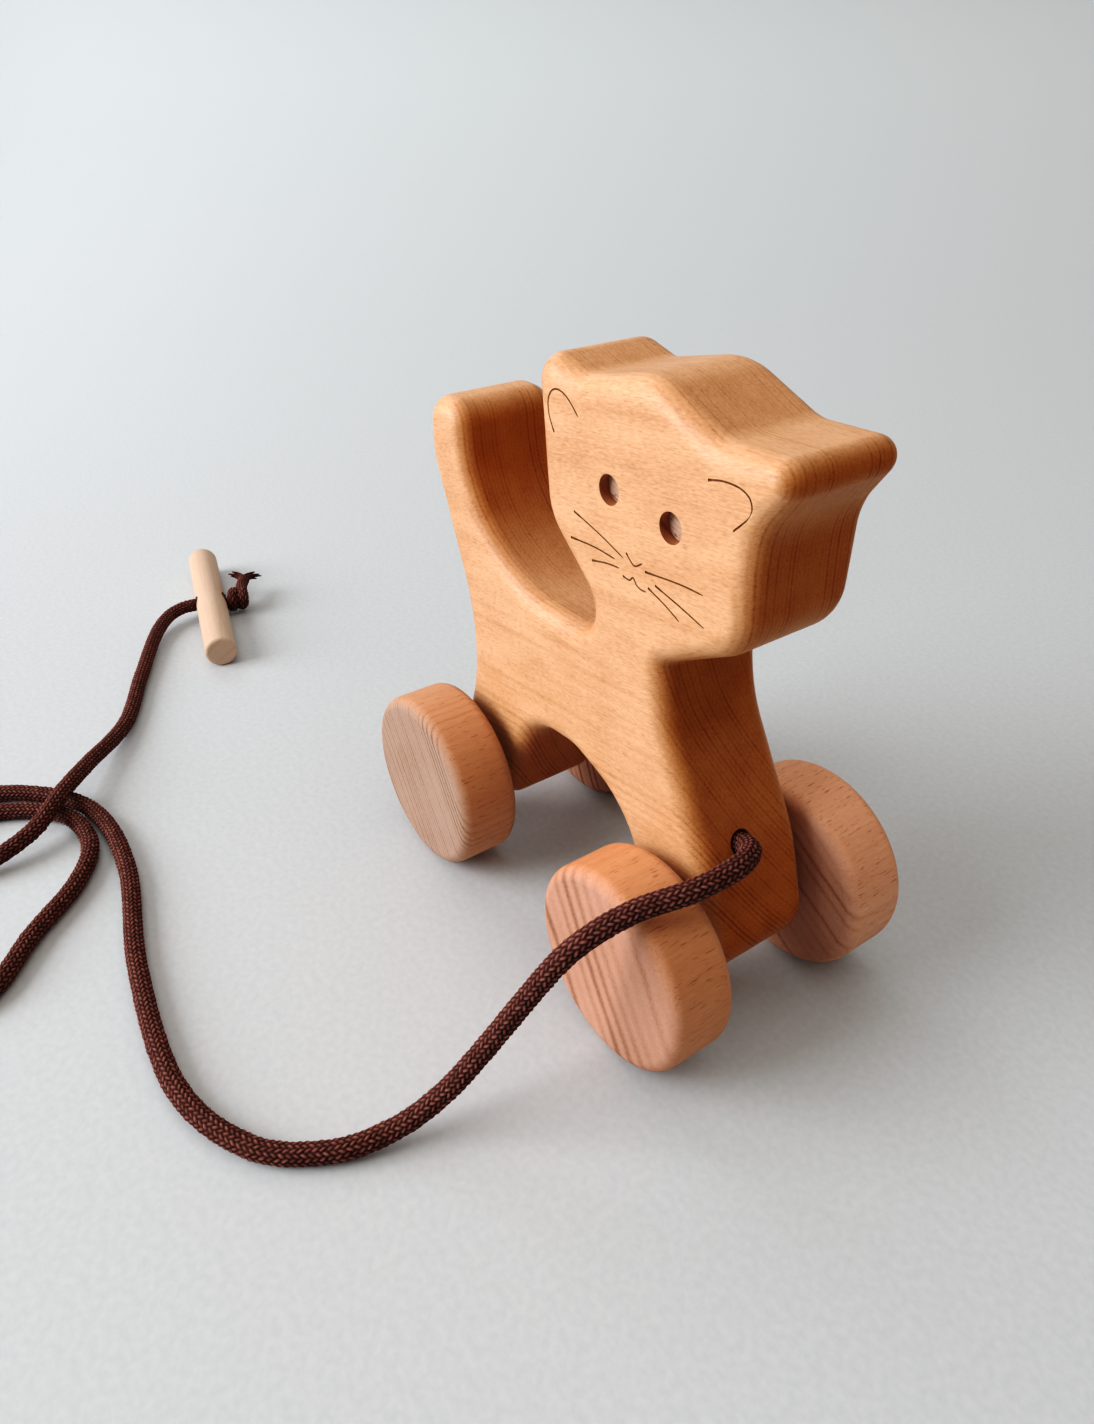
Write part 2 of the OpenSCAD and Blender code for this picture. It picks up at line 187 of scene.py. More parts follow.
def tube(line, radius, sides):
    """Points and faces of a closed tube along a line in metres.

    radius is one number, or an array with a row for each point of the line and a column for each
    side, or one column for all of them.
    """
    side, top = sweep_frames(line)
    angle = 2 * math.pi * np.arange(sides) / sides
    ring = (np.cos(angle)[None, :, None] * side[:, None, :]
            + np.sin(angle)[None, :, None] * top[:, None, :])
    points = line[:, None, :] + np.asarray(radius)[..., None] * ring
    return points.reshape(-1, 3), ring_faces(len(line), sides)


def cylinder(start, end, radius, sides=64):
    """Points and faces of a cylinder in metres from start to end."""
    return tube(np.array([start, end], float), radius, sides)


def lathe(name, profile, start, axis, material, sides):
    """A turned piece: (distance from its start along the unit axis, radius) pairs in metres."""
    distance, radius = np.array(profile).T
    line = np.array(start) + distance[:, None] * np.array(axis, float)
    return mesh_object(name, *tube(line, radius[:, None], sides), material, TURNED_EDGE)


def rounded_profile(length, radius, rounding, steps=8):
    """Profile of a disc or dowel with rounded rims."""
    angles = np.radians(np.linspace(0, 90, steps + 1))
    first = [
        (rounding * (1 - math.cos(a)), radius - rounding + rounding * math.sin(a)) for a in angles
    ]
    return first + [(length - along, r) for along, r in reversed(first)]


def joined(parts):
    """One mesh of several pairs of points and faces."""
    points, faces = [], []
    for part_points, part_faces in parts:
        faces += [tuple(len(points) + k for k in face) for face in part_faces]
        points += [tuple(p) for p in part_points]
    return points, faces


def cut(piece, cutters, material):
    """Cuts the cutters' solids out of a piece, and gives the cut faces their own material."""
    tool = mesh_object(piece.name + "_cutter", *joined(cutters), material, CUTTER_EDGE)
    modifier = piece.modifiers.new("cut", "BOOLEAN")
    modifier.operation = "DIFFERENCE"
    modifier.solver = "EXACT"
    modifier.use_self = True
    modifier.material_mode = "TRANSFER"
    modifier.object = tool
    bpy.context.view_layer.update()
    evaluated = piece.evaluated_get(bpy.context.evaluated_depsgraph_get())
    cut_mesh = bpy.data.meshes.new_from_object(evaluated)
    piece.modifiers.clear()
    replaced = (piece.data, tool.data)
    piece.data = cut_mesh
    bpy.data.objects.remove(tool)
    for mesh in replaced:
        bpy.data.meshes.remove(mesh)
    shade(cut_mesh, TURNED_EDGE)


def keep_flats_flat(piece):
    """Weights normals by face area, so that rounded edges shade softly and flat faces stay flat."""
    modifier = piece.modifiers.new("normals", "WEIGHTED_NORMAL")
    modifier.mode = "FACE_AREA"
    modifier.weight = 60
    modifier.keep_sharp = True


# Materials

class Look:
    """A procedural material, with short ways to add nodes to it.

    An input is a plain value or the output of another node.
    """

    def __init__(self, name):
        self.material = bpy.data.materials.new(name)
        self.material.use_nodes = True
        self.nodes = self.material.node_tree.nodes
        self.shader = self.nodes["Principled BSDF"]
        place = self.nodes.new("ShaderNodeTexCoord")
        self.place, self.normal = place.outputs["Object"], place.outputs["Normal"]

    def put(self, node, inputs):
        for name, value in inputs.items():
            if isinstance(value, bpy.types.NodeSocket):
                self.material.node_tree.links.new(value, node.inputs[name])
            else:
                node.inputs[name].default_value = value

    def node(self, kind, inputs, **settings):
        node = self.nodes.new("ShaderNode" + kind)
        for name, value in settings.items():
            setattr(node, name, value)
        self.put(node, inputs)
        return node

    def maths(self, operation, *values):
        return self.node("Math", dict(enumerate(values)), operation=operation).outputs["Value"]

    def vector(self, operation, a, b):
        node = self.node("VectorMath", {0: a, 1: b}, operation=operation)
        return node.outputs["Value" if operation == "DOT_PRODUCT" else "Vector"]

    def noise(self, place, scale, detail=2.0, roughness=0.5):
        inputs = {"Vector": place, "Scale": scale, "Detail": detail, "Roughness": roughness}
        return self.node("TexNoise", inputs).outputs["Fac"]

    def ramp(self, value, *stops):
        """The colour at a value, from stops of (position, colour)."""
        node = self.node("ValToRGB", {"Fac": value})
        elements = node.color_ramp.elements
        for element, (position, colour) in zip(elements, (stops[0], stops[-1])):
            element.position = position
            element.color = (*colour, 1)
        for position, colour in stops[1:-1]:
            elements.new(position).color = (*colour, 1)
        return node.outputs["Color"]

    def mix(self, share, surface, colour, blend="MIX"):
        inputs = {"Factor": share, "A": surface, "B": (*colour, 1)}
        return self.node("Mix", inputs, data_type="RGBA", blend_type=blend).outputs["Result"]

    def attribute(self, name):
        return self.node("Attribute", {}, attribute_name=name).outputs["Fac"]

    def bump(self, height, strength, distance):
        inputs = {"Height": height, "Strength": strength, "Distance": distance}
        self.put(self.shader, {"Normal": self.node("Bump", inputs).outputs["Normal"]})

    def finish(self, colour, roughness, specular):
        inputs = {"Base Color": colour, "Roughness": roughness, "Specular IOR Level": specular}
        self.put(self.shader, inputs)
        return self.material


def cord_material():
    """Dark brown braid of fine yarn: painted shade between stitches, painted highlight on tops."""
    look = Look("cord_braid")
    yarn = look.noise(look.place, 2600, 3)
    height = look.maths("MULTIPLY_ADD", look.attribute("stitch"), 0.85, -0.05)
    # The colour follows each stitch's height: painted shade in the gaps, painted highlight on the
    # tops.
    colour = look.ramp(
        look.maths("MULTIPLY_ADD", yarn, 0.30, height),
        (0.22, (0.014, 0.005, 0.004)),
        (0.55, (0.083, 0.031, 0.026)),
        (0.95, (0.260, 0.114, 0.096)),
    )
    look.bump(yarn, 0.25, 0.1 * MM)
    return look.finish(colour, roughness=0.8, specular=0.12)


def burnt_material():
    """Burnt-in lines: dark brown with a little unevenness."""
    look = Look("burnt_line")
    colour = look.ramp(
        look.noise(look.place, 900), (0.3, (0.080, 0.031, 0.013)), (0.7, (0.175, 0.072, 0.031)),
    )
    return look.finish(colour, roughness=0.8, specular=0.15)


def floor_material():
    """Pale paper, painted paler and bluer towards the wall as painted light."""
    look = Look("floor_paper")
    colour = look.ramp(
        look.noise(look.place, 700, 3), (0.3, (0.480, 0.507, 0.540)), (0.7, (0.530, 0.557, 0.590)),
    )
    # Painted light: the paper turns paler and bluer with distance, so the wall looks brighter.
    colour = look.mix(look.attribute("far"), colour, (0.725, 0.79, 0.845))
    return look.finish(colour, roughness=0.5, specular=0.3)


# Frequencies per metre along the fibres and across them
DRIFT_SCALE = (14, 45, 45)
BROAD_SCALE = (18, 60, 60)
PATCH_SCALE = (90, 170, 170)
FIBRE_SCALE = (55, 1500, 1500)
SANDED_SCALE = (750, 3000, 3000)
# How much each of them changes the tone, from 0 for dark to 1 for light
BASE_TONE, RING_TONE, FIBRE_TONE, BROAD_TONE = 0.32, -0.34, 0.34, 0.26
TONE_STOPS = (0.20, 0.48, 0.80)
DRIFT_RINGS = 6
RING_CHANCE_POWER, RING_CHANCE, RING_ALWAYS = 1.6, 0.9, 0.12
PORE_FROM, PORE_FULL = 0.62, 0.72
END_POWER = 1.5
END_DULLNESS = 0.9
WOOD_BUMP, WOOD_BUMP_HEIGHT = 0.2, 0.15 * MM


def wood_material(name, rings, along, period, dark, mid, light, pith=None, wander=0.6,
                  contrast=1.0, end_contrast=0.0, sharpness=3.0, mottle=0.12, grain_strength=0.25,
                  flecks=0.0, fleck_colour=(0.25, 0.11, 0.05), fleck_scale=(300, 2200, 2200),
                  end_grain_and_shade=(1.0, 1.0, 1.0), roughness=0.5, sheen=0.35, offset=(0.0, 0.0, 0.0)):
    """Solid wood with growth rings across the direction rings and fibres along the direction along.

    period is the distance between two rings in metres. The rings are flat, or round about the line
    along the fibres through the point pith. wander is how far they stray, contrast how strongly
    they show, with end_contrast added on the surfaces that cut across the fibres, and sharpness
    how narrow they are. mottle is how patchy the tone is, and grain_strength how much it varies
    from fibre to fibre. flecks is how strongly short dark pores show, and fleck_scale their
    frequency per metre along and across the fibres. end_grain_and_shade tints the surfaces that
    cut across the fibres, where the pores don't show: the end grain's own colour, and painted
    shade where it is set darker than that. offset moves the pattern, so that no two pieces match.
    """
    look = Look(name)
    maths = look.maths
    across = Vector(rings).normalized()
    fibre = Vector(along).normalized()
    fibre = (fibre - across * fibre.dot(across)).normalized()
    third = across.cross(fibre)
    turned = [look.vector("DOT_PRODUCT", look.place, axis) for axis in (fibre, third, across)]
    grain = look.node("CombineXYZ", dict(enumerate(turned))).outputs["Vector"]
    shifted = look.vector("ADD", grain, offset)

    def noise(scale, detail, rough=0.5):
        return look.noise(look.vector("MULTIPLY", shifted, scale), 1.0, detail, rough)

    # How much a surface cuts across the fibres
    facing = look.vector("DOT_PRODUCT", look.normal, fibre)
    end = maths("POWER", maths("ABSOLUTE", facing), END_POWER)
    # Rings: a wandering distance across them, turned into soft dark lines
    split = look.node("SeparateXYZ", {0: shifted})
    depth = split.outputs["Z"]
    if pith:
        aside = maths("SUBTRACT", split.outputs["Y"], third.dot(Vector(pith)))
        below = maths("SUBTRACT", depth, across.dot(Vector(pith)))
        depth = maths("SQRT", maths("MULTIPLY_ADD", aside, aside, maths("MULTIPLY", below, below)))
    drift = maths("MULTIPLY", noise(DRIFT_SCALE, 2), wander * DRIFT_RINGS)
    distance = maths("MULTIPLY_ADD", depth, 1 / period, drift)
    chance = look.node("TexWhiteNoise", {"W": maths("FLOOR", distance)}, noise_dimensions="1D")
    chance = maths("POWER", chance.outputs["Value"], RING_CHANCE_POWER)
    strength = maths("MULTIPLY_ADD", chance, RING_CHANCE, RING_ALWAYS)
    wave = maths("COSINE", maths("MULTIPLY", maths("FRACT", distance), 2 * math.pi))
    swell = maths("MULTIPLY_ADD", wave, -0.5, 0.5)
    line = maths("MULTIPLY", maths("POWER", swell, sharpness), strength)
    shown_lines = maths("MULTIPLY", line, maths("MULTIPLY_ADD", end, end_contrast, contrast))
    # Tone: rings, fine streaks along the fibres, and broad and small patches
    fibres = noise(FIBRE_SCALE, 4, 0.6)
    sanded = noise(SANDED_SCALE, 2)
    tone = maths("MULTIPLY_ADD", shown_lines, RING_TONE, BASE_TONE - 0.5 * mottle)
    tone = maths("MULTIPLY_ADD", fibres, FIBRE_TONE, tone)
    tone = maths("MULTIPLY_ADD", noise(BROAD_SCALE, 2), BROAD_TONE, tone)
    tone = maths("MULTIPLY_ADD", noise(PATCH_SCALE, 3), mottle, tone)
    tone = maths("MULTIPLY_ADD", maths("SUBTRACT", sanded, 0.5), grain_strength, tone)
    colour = look.ramp(tone, *zip(TONE_STOPS, (dark, mid, light)))
    if flecks:
        pores = {
            "Value": noise(fleck_scale, 1), "From Min": PORE_FROM, "From Max": PORE_FULL,
            "To Max": flecks,
        }
        pores = look.node("MapRange", pores).outputs["Result"]
        shown_pores = maths("MULTIPLY", pores, maths("SUBTRACT", 1.0, end))
        colour = look.mix(shown_pores, colour, fleck_colour)
    # Tints the surfaces across the fibres: the end grain's own colour, deepened with painted shade.
    colour = look.mix(end, colour, end_grain_and_shade, "MULTIPLY")
    look.bump(maths("ADD", sanded, fibres), WOOD_BUMP, WOOD_BUMP_HEIGHT)
    return look.finish(colour, roughness, maths("MULTIPLY_ADD", end, -END_DULLNESS * sheen, sheen))


# Braided cord

CORD = cord_material()
CORD_D = 4.1 * MM
CORD_LOW = 2.2
CORD_ROUTE = np.array([
    (18.9, -2.2, 29.9), (31, -2.2, 36.3), (40.9, -2.8, 41.5), (45.6, -8.6, 43.9),
    (45.5, -19, 43.6), (41.6, -30, 41.3), (39.3, -40, 37), (36.2, -46.5, 27.5), (33.5, -53, 17.5),
    (31.5, -61, 8.8), (29.5, -70, 3.8), (26, -81, 2.4), (16.5, -92, CORD_LOW),
    (-3, -98.3, CORD_LOW), (-35, -95.5, CORD_LOW), (-66, -88.8, CORD_LOW), (-90, -89, CORD_LOW),
    (-105, -97, CORD_LOW), (-115, -112, CORD_LOW), (-111, -130, CORD_LOW), (-91, -140, CORD_LOW),
    (-66, -143, CORD_LOW), (-47, -136.5, CORD_LOW), (-45, -122.5, CORD_LOW),
    (-57, -111, CORD_LOW), (-68, -99.5, CORD_LOW), (-80, -93.5, CORD_LOW), (-94, -95.5, CORD_LOW),
    (-104, -106, CORD_LOW), (-107, -119, CORD_LOW), (-96.5, -128, CORD_LOW), (-86, -119, 2.5),
    (-88.5, -104.5, 4.8), (-97.5, -94.7, 6.8), (-108, -86.5, 5.4), (-126, -72.5, 2.4),
    (-150, -61, CORD_LOW), (-173.5, -48.5, 3), (-180.6, -38.5, 4.4), (-177, -24.5, 4.75),
]) * MM
BRAID_EDGE = 80
BRAID_STRANDS = 14
BRAID_PITCH = 1.25 * MM
BRAID_SIDES = 84
BRAID_STEP = 0.22 * MM
BRAID_CORE, BRAID_RELIEF = 0.79, 0.25
STITCH_FALL, STITCH_FALL_POWER = 0.7, 2.2
STITCH_LOWEST = 0.72
# A repeatable scatter: the share of a large sine that is left after the point
SCATTER_STRAND, SCATTER_STITCH, SCATTER_SET, SCATTER_GAIN = 12.9898, 78.233, 37.7, 43758.5453
TAPER_TIP = 0.02


def braid_height(around, along):
    """Height from 0 to 1 of a braid of two crossing sets of strands.

    around is in turns about the cord and along in metres. Each strand runs over two strands of
    the other set and then under two. That gives columns of short slanted stitches, and no two
    stitches are quite alike.
    """
    u, v = around * BRAID_STRANDS, along / BRAID_PITCH
    a, b = u + v, u - v
    ia, ib = np.floor(a), np.floor(b)
    fa, fb = a - ia, b - ib
    place = np.mod(ia + ib, 4)
    first_set = place < 2
    across = np.where(first_set, fa, fb) * 2 - 1
    lengthwise = np.where(first_set, place + fb, place - 2 + fa) - 1
    strand = np.where(first_set, ia, ib)
    stitch = np.where(first_set, ib - place, ia - place + 2)
    wave = np.sin(strand * SCATTER_STRAND + stitch * SCATTER_STITCH + first_set * SCATTER_SET)
    chance = np.mod(wave * SCATTER_GAIN, 1)
    fall = STITCH_FALL * np.abs(lengthwise) ** STITCH_FALL_POWER
    bead = np.sqrt(np.clip(1 - across ** 2, 0, 1)) * (1 - fall)
    return bead * (STITCH_LOWEST + (1 - STITCH_LOWEST) * chance)


def braided_tube(name, line, diameter, taper=0.0):
    """A braided cord along a line in metres, and the line's points. It narrows over the taper."""
    line = even(line, BRAID_STEP)
    along = lengths(line)
    around = np.arange(BRAID_SIDES) / BRAID_SIDES
    height = braid_height(around[None, :], along[:, None])
    radius = diameter / 2 * (BRAID_CORE + BRAID_RELIEF * height)
    if taper:
        left = np.clip((along[-1] - along) / taper, TAPER_TIP, 1)
        radius *= np.sqrt(left * (2 - left))[:, None]
    piece = mesh_object(name, *tube(line, radius, BRAID_SIDES), CORD, BRAID_EDGE)
    # Each point's stitch height, which the cord's colour turns into painted shade and painted
    # highlight.
    point_values(piece, "stitch", height.reshape(-1).astype(np.float32))
    return piece, line


cord, cord_line = braided_tube("pull_cord_braid", spline(CORD_ROUTE, 24), CORD_D)
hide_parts("pull_cord")
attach(cord, "toy")


# Knots. Their lines are given as (along the cord, to its left, down).

KNOT_D = 8 * MM
KNOT_LENGTH = 7 * MM
KNOT_CORD_D = 0.92 * CORD_D
KNOT_TURN = 530
KNOT_POINTS = 24
KNOT_START, KNOT_ENDS = 0.8, 1.7
KNOT_TAPER = 1.0 * MM
FRAY_SIDES, FRAY_YARNS = 6, 6
FRAY_TURN = 2.4
FRAY_BEND_AT = 0.45
FRAY_BEND_LEFT = np.array((0, 1.2, 0)) * MM
FRAY_ROOT, FRAY_BEND, FRAY_TIP, FRAY_TIP_MORE = 0.9 * MM, 0.8 * MM, 0.5 * MM, 0.2 * MM
YARN_THICK, YARN_THIN = 0.75 * MM, 0.2 * MM
YARN_TONE = 0.45
YARN_EDGE = 40


def placed(points, origin, along):
    """Moves a knot's points to an end of the cord."""
    along = np.array(along, float) / np.linalg.norm(along)
    down = np.array((0, 0, -1.0)) + along * along[2]
    down /= np.linalg.norm(down)
    left = np.cross(along, down)
    return origin + np.asarray(points) @ np.array([along, left, down])


def knot_line(last_turn, tail):
    """A tight overhand knot about the cord's axis, in metres.

    Its strand goes round up to last_turn, in degrees from the left, and leaves along the tail.
    """
    strand = KNOT_CORD_D / 2
    loop = KNOT_D / 2 - strand
    turns = np.radians(np.linspace(last_turn - KNOT_TURN, last_turn, KNOT_POINTS))
    share = 0.5 - 0.5 * np.cos(np.linspace(0, math.pi, KNOT_POINTS))
    wrap = np.column_stack([
        strand * KNOT_START + (KNOT_LENGTH - strand * KNOT_ENDS) * share,
        loop * np.cos(turns),
        loop * np.sin(turns),
    ])
    return np.vstack([[(0, 0, 0)], wrap, tail])


def knot(name, origin, along, last_turn, tail, node):
    path = placed(knot_line(last_turn, np.array(tail) * MM), origin, along)
    piece, _ = braided_tube(name, spline(path, 10), KNOT_CORD_D, KNOT_TAPER)
    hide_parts(node)
    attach(piece, "toy")
    return piece


def frayed_end(name, origin, along, root, tips, node):
    """Tufts of loose yarn from the root to around each tip."""
    root, tips = np.array(root) * MM, np.array(tips) * MM
    yarns = []
    for t, tip in enumerate(tips):
        bend = (1 - FRAY_BEND_AT) * root + FRAY_BEND_AT * tip + FRAY_BEND_LEFT
        for k in range(FRAY_YARNS):
            turn = FRAY_TURN * k + t
            spread = np.array((math.cos(turn), 0.4 * math.sin(2 * turn), math.sin(turn)))
            route = [
                root + spread * FRAY_ROOT,
                bend + spread * FRAY_BEND,
                tip + spread * (FRAY_TIP + FRAY_TIP_MORE * k),
            ]
            line = placed(spline(route, 6), origin, along)
            size = np.linspace(YARN_THICK, YARN_THIN, len(line))
            yarns.append(tube(line, size[:, None], FRAY_SIDES))
    piece = mesh_object(name, *joined(yarns), CORD, YARN_EDGE)
    point_values(piece, "stitch", np.full(len(piece.data.vertices), YARN_TONE, np.float32))
    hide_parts(node)
    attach(piece, "toy")
    return piece


cord_start, cord_end = CORD_ROUTE[0], CORD_ROUTE[-1]
anchor_along = CORD_ROUTE[0] - CORD_ROUTE[1]
toggle_along = (CORD_ROUTE[-1] - CORD_ROUTE[-2]) * (1, 1, 0)
anchor_knot = knot(
    "anchor_knot_tied", cord_start, anchor_along, 430,
    [(5.0, -2.5, 2.7), (7.5, -6.3, 3.2), (10.0, -10.6, 3.8)], "anchor_knot",
)
toggle_knot = knot(
    "toggle_knot_tied", cord_end, toggle_along, 630,
    [(5.4, 3.2, -2.3), (6.3, 6.6, -2.3), (7.2, 9.6, -2.2)], "toggle_knot",
)
toggle_fray = frayed_end(
    "toggle_knot_fray", cord_end, toggle_along, (7.0, 9.0, -2.2),
    [(3.6, 12.5, -3.2), (11.6, 12.0, -1.6)], "toggle_knot",
)


# Board, in millimetres

BOARD_GRAIN = (1, 0, 0.14)
# Across the fibres: darker end grain, deepened with painted shade on head front, chest and tail.
BOARD_WOOD = wood_material(
    "board_wood", rings=(0, 1, 0), along=BOARD_GRAIN, period=0.85 * MM, pith=(0.03, 0.104, 0.1),
    dark=(0.38, 0.155, 0.062), mid=(0.578, 0.290, 0.143), light=(0.720, 0.410, 0.236),
    wander=0.25, contrast=0.55, end_contrast=0.6, sharpness=2.0, mottle=0.45, grain_strength=0.6,
    flecks=0.42, fleck_colour=(0.33, 0.13, 0.05), fleck_scale=(480, 3400, 3400),
    end_grain_and_shade=(0.61, 0.36, 0.15), roughness=0.45, sheen=0.45,
)
# Eye holes: walls and floors in darker wood than the board, as painted shade inside the holes.
SHADED_EYE_WALL = wood_material(
    "shaded_eye_wall", rings=(-0.08, 0.85, 0.53), along=BOARD_GRAIN, period=1.7 * MM,
    dark=(0.19, 0.066, 0.028), mid=(0.30, 0.115, 0.052), light=(0.44, 0.200, 0.105), roughness=0.6,
)
SHADED_EYE_FLOOR = wood_material(
    "shaded_eye_floor", rings=(0.3, 0.2, 1), along=BOARD_GRAIN, period=0.8 * MM,
    dark=(0.18, 0.085, 0.055), mid=(0.36, 0.205, 0.145), light=(0.56, 0.375, 0.290), contrast=1.4,
    flecks=0.6, fleck_colour=(0.12, 0.05, 0.02), fleck_scale=(900, 1500, 1500), roughness=0.8,
)
BURNT = burnt_material()
BOARD_THICKNESS = 24
FACE_Y = -BOARD_THICKNESS / 2
EDGE_ROUND = 4.1
AXLE_Z = 20
FRONT_X, REAR_X = 34, -34
AXLE_BORE_D = 6.16
BORE_REACH = 20
CORD_HOLE_D = 5
CORD_HOLE_TILT = math.radians(28)
CORD_HOLE_MIDDLE = (FRONT_X, -2.2, 37.9)
CORD_HOLE_REACH = 26
EYE_D = 5.2
EYE_DEPTH = 2
EYES = ((10.9, 100.2), (26.1, 98.9))
CUTTER_MARGIN = 2
FACING = 0.9
# x, z and rounding of each corner
OUTLINE_CORNERS = (
    (-43, 14, 7), (-43, 27, 12), (-34, 50, 43), (-50, 89, 14), (-50, 101.8, 5.6),
    (-37.5, 101.8, 5.6), (-32, 70.3, 27.5), (14.8, 70.3, 5.4), (-8.2, 89.5, 11.5),
    (-11.3, 119.5, 4.6), (1.5, 116.2, 6.5), (18.5, 120.2, 15), (33.9, 114.2, 9.7),
    (51.2, 114.9, 3.4), (43.7, 103.2, 12.5), (43.3, 83.8, 10.7), (25.2, 73.7, 2), (27, 61.8, 30),
    (40.7, 37.8, 40), (48.3, 12, 10), (21.6, 12, 5), (20.7, 36.3, 19), (0.6, 42.4, 11.5),
    (-13.2, 41, 11.5), (-23.5, 14, 5),
)
CORNER_MARGIN = 0.4
ARC_STEP = 4
EDGE_STEPS = 9
FACE_LINE_D = 0.34
FACE_LINE_SIDES = 10
FACE_LINE_OUT = 0.05
FACE_LINE_START, FACE_LINE_END = 1.35, 0.6
FACE_LINES = {
    "rear_ear": (
        (-4.3, 105.6), (-5.7, 108.2), (-6.0, 110.6), (-5.1, 112.3), (-3.6, 113.0), (-1.7, 112.8),
        (0.2, 111.8), (2.4, 109.9),
    ),
    "front_ear": (
        (33.3, 108.8), (36.2, 109.5), (39.3, 109.6), (41.4, 108.9), (42.2, 107.6), (41.9, 106.1),
        (40.7, 104.6), (39.1, 103.0),
    ),
    "rear_whisker_top": ((1.4, 93.4), (8.8, 91.7), (15.1, 89.8)),
    "rear_whisker_middle": ((0.6, 88.3), (7.5, 88.9), (13.0, 88.8)),
    "rear_whisker_bottom": ((6.7, 86.2), (10.8, 87.2), (14.1, 87.6)),
    "nose": ((15.8, 91.0), (17.4, 89.7), (18.4, 89.6), (19.9, 90.6)),
    "mouth": ((15.2, 86.6), (16.9, 86.5), (17.8, 87.3), (18.7, 86.4), (19.8, 86.0), (21.2, 86.1)),
    "front_whisker_top": ((20.7, 89.5), (28.8, 90.6), (34.2, 90.9)),
    "front_whisker_middle": ((23.3, 88.1), (29.4, 86.9), (35.0, 85.6)),
    "front_whisker_bottom": ((21.6, 87.0), (25.9, 85.7), (29.4, 84.3)),
}


def board_outline():
    """Points of the outline, clockwise seen from the face.

    Also their outward directions, and how far the rounded-over edge runs in from each.
    """
    corners = np.array([c[:2] for c in OUTLINE_CORNERS], float)
    points, outs, insets = [], [], []
    for i, (_, _, radius) in enumerate(OUTLINE_CORNERS):
        u = corners[i] - corners[i - 1]
        v = corners[(i + 1) % len(corners)] - corners[i]
        turn = math.atan2(u[1] * v[0] - u[0] * v[1], u @ v)
        u /= np.linalg.norm(u)
        first_out = np.array((-u[1], u[0]))
        signed = math.copysign(radius, turn)
        first = corners[i] - u * radius * math.tan(abs(turn) / 2)
        centre = first - first_out * signed
        steps = max(2, math.ceil(abs(math.degrees(turn)) / ARC_STEP))
        for k in range(steps + 1):
            angle = math.atan2(first_out[1], first_out[0]) - turn * k / steps
            out = np.array((math.cos(angle), math.sin(angle)))
            points.append(centre + out * signed)
            outs.append(out)
            insets.append(min(EDGE_ROUND, radius - CORNER_MARGIN) if turn > 0 else EDGE_ROUND)
    return np.array(points), np.array(outs), np.array(insets)


def board_mesh():
    """Points and faces of the rounded-over board, in metres."""
    points, outs, insets = board_outline()
    rings = []
    for k in range(EDGE_STEPS + 1):
        angle = math.pi / 2 * k / EDGE_STEPS
        rings.append((1 - math.sin(angle), EDGE_ROUND * (1 - math.cos(angle)) + FACE_Y))
    rings += [(share, -y) for share, y in reversed(rings)]
    verts = []
    for share, y in rings:
        flat = points - outs * (insets * share)[:, None]
        verts += [(x * MM, y * MM, z * MM) for x, z in flat]
    return verts, ring_faces(len(rings), len(points))


def drilled(start, end, diameter):
    """The cutter of a round hole."""
    return cylinder(np.array(start) * MM, np.array(end) * MM, diameter / 2 * MM)


def burnt_line(points):
    """The cutter of a line on the face, thicker where it starts and thinner where it ends."""
    path = spline([(x * MM, (FACE_Y - FACE_LINE_OUT) * MM, z * MM) for x, z in points], 6)
    radius = np.full(len(path), FACE_LINE_D / 2 * MM)
    radius[:2] *= FACE_LINE_START
    radius[-1] *= FACE_LINE_END
    return tube(path, radius[:, None], FACE_LINE_SIDES)


def board():
    piece = mesh_object("board", *board_mesh(), BOARD_WOOD, TURNED_EDGE)
    holes = [
        drilled((x, -BORE_REACH, AXLE_Z), (x, BORE_REACH, AXLE_Z), AXLE_BORE_D)
        for x in (REAR_X, FRONT_X)
    ]
    middle = np.array(CORD_HOLE_MIDDLE)
    reach = np.array((math.cos(CORD_HOLE_TILT), 0, math.sin(CORD_HOLE_TILT))) * CORD_HOLE_REACH
    holes.append(drilled(middle - reach, middle + reach, CORD_HOLE_D))
    cut(piece, holes, BOARD_WOOD)
    eyes = [
        drilled((x, FACE_Y - CUTTER_MARGIN, z), (x, FACE_Y + EYE_DEPTH, z), EYE_D) for x, z in EYES
    ]
    cut(piece, eyes, SHADED_EYE_WALL)
    materials = piece.data.materials
    materials.append(SHADED_EYE_FLOOR)
    for polygon in piece.data.polygons:
        if materials[polygon.material_index] == SHADED_EYE_WALL and abs(polygon.normal.y) > FACING:
            polygon.material_index = len(materials) - 1
    cut(piece, [burnt_line(points) for points in FACE_LINES.values()], BURNT)
    keep_flats_flat(piece)
    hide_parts("body")
    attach(piece, "toy")


board()


# Wheels and axles, in millimetres

WHEEL_D, WHEEL_WIDTH, RIM_ROUND = 40, 14, 2.5
WHEEL_INNER_Y = 15
WHEEL_SIDES = 128
WHEEL_TONES = ((0.28, 0.098, 0.042), (0.515, 0.208, 0.098), (0.645, 0.292, 0.152))
AXLE_D = 6
AXLE_HALF = 24.7
AXLE_SIDES = 48
AXLE_WOOD = wood_material(
    "axle_wood", rings=(1, 0, 0.4), along=(0, 1, 0), period=1.6 * MM, dark=(0.45, 0.26, 0.14),
    mid=(0.62, 0.40, 0.24), light=(0.74, 0.52, 0.34), roughness=0.55,
)


